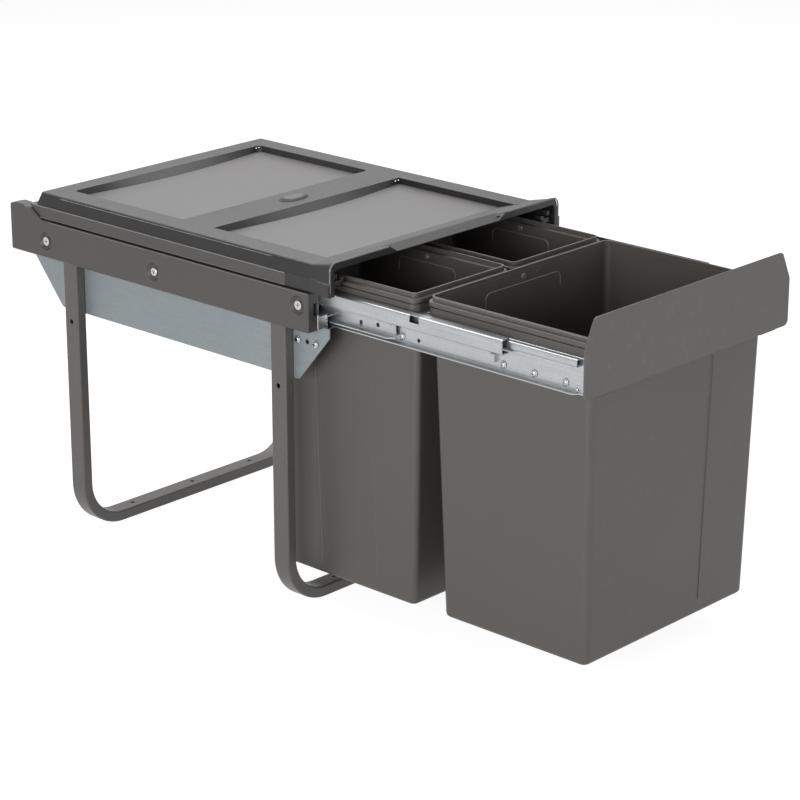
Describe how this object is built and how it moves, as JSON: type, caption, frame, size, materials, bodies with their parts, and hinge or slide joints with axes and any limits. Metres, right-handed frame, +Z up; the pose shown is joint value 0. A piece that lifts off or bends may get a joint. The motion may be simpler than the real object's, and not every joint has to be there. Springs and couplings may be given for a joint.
{
  "type": "pull out bin frame",
  "caption": "Free-standing pull-out bin frame for a base cabinet: steel leg loops, ball-bearing slides, fixed lid, and a drawer with a wide front bin and a pair of rear bins.",
  "frame": {"origin": "middle floor-screw hole of the front leg loop's bar, at floor level", "axes": "+X across the cabinet, -Y the way the drawer pulls out, +Z up"},
  "size_m": [0.344, 0.7775, 0.3842],
  "materials": {
    "leg_paint": "satin powder coat",
    "galvanised": "galvanised with spangle",
    "zinc": "bright zinc",
    "ball_steel": "polished",
    "cover_plastic": "fine grain",
    "lid_plastic": "fine grain",
    "bin_plastic": "smooth matt",
    "panel_paint": "satin",
    "dark_bracket": "satin",
    "screw_steel": "bright zinc"
  },
  "bodies": {
    "frame": {"front_leg_loop": "leg_paint", "rear_leg_loop": "leg_paint", "left_side_plate": "galvanised", "right_side_plate": "galvanised", "left_fixed_rail": "zinc", "right_fixed_rail": "zinc", "left_side_cover": "cover_plastic", "right_side_cover": "cover_plastic", "left_cover_screws": "screw_steel", "right_cover_screws": "screw_steel", "left_plate_rivets": "zinc", "right_plate_rivets": "zinc", "left_lid_rail": "cover_plastic", "right_lid_rail": "cover_plastic", "lid": "lid_plastic"},
    "left_carriage": {"left_middle_channel": "zinc", "left_middle_carrier": "zinc"},
    "right_carriage": {"right_middle_channel": "zinc", "right_channel_guard": "zinc", "right_middle_carrier": "zinc"},
    "left_lower_ball_row": {"left_lower_cage": "zinc", "left_lower_balls": "ball_steel"},
    "right_lower_ball_row": {"right_lower_cage": "zinc", "right_lower_balls": "ball_steel"},
    "left_upper_ball_row": {"left_upper_cage": "zinc", "left_upper_balls": "ball_steel"},
    "right_upper_ball_row": {"right_upper_cage": "zinc", "right_upper_balls": "ball_steel"},
    "drawer": {"left_drawer_rail": "zinc", "right_drawer_rail": "zinc", "left_bin_ledge": "zinc", "right_bin_ledge": "zinc", "left_front_bracket": "dark_bracket", "right_front_bracket": "dark_bracket", "left_drawer_rivets": "zinc", "right_drawer_rivets": "zinc", "middle_cross_bar": "zinc", "rear_cross_bar": "zinc", "front_panel": "panel_paint", "front_bin": "bin_plastic", "left_rear_bin": "bin_plastic", "right_rear_bin": "bin_plastic"}
  },
  "joints": [
    {"name": "drawer_slide", "type": "slide", "parent": "frame", "child": "drawer", "axis": [0, -1, 0], "range_m": [-0.298, 0.122]},
    {"name": "left_carriage_slide", "type": "slide", "parent": "frame", "child": "left_carriage", "axis": [0, -1, 0], "range_m": [-0.2086, 0.0854]},
    {"name": "right_carriage_slide", "type": "slide", "parent": "frame", "child": "right_carriage", "axis": [0, -1, 0], "range_m": [-0.2086, 0.0854]},
    {"name": "left_lower_ball_slide", "type": "slide", "parent": "frame", "child": "left_lower_ball_row", "axis": [0, -1, 0], "range_m": [-0.1043, 0.0427]},
    {"name": "right_lower_ball_slide", "type": "slide", "parent": "frame", "child": "right_lower_ball_row", "axis": [0, -1, 0], "range_m": [-0.1043, 0.0427]},
    {"name": "left_upper_ball_slide", "type": "slide", "parent": "frame", "child": "left_upper_ball_row", "axis": [0, -1, 0], "range_m": [-0.2533, 0.1037]},
    {"name": "right_upper_ball_slide", "type": "slide", "parent": "frame", "child": "right_upper_ball_row", "axis": [0, -1, 0], "range_m": [-0.2533, 0.1037]}
  ],
  "couplings": [
    {"joint": "left_carriage_slide", "follows": "drawer_slide", "ratio": 0.7},
    {"joint": "right_carriage_slide", "follows": "drawer_slide", "ratio": 0.7},
    {"joint": "left_lower_ball_slide", "follows": "drawer_slide", "ratio": 0.35},
    {"joint": "right_lower_ball_slide", "follows": "drawer_slide", "ratio": 0.35},
    {"joint": "left_upper_ball_slide", "follows": "drawer_slide", "ratio": 0.85},
    {"joint": "right_upper_ball_slide", "follows": "drawer_slide", "ratio": 0.85}
  ]
}
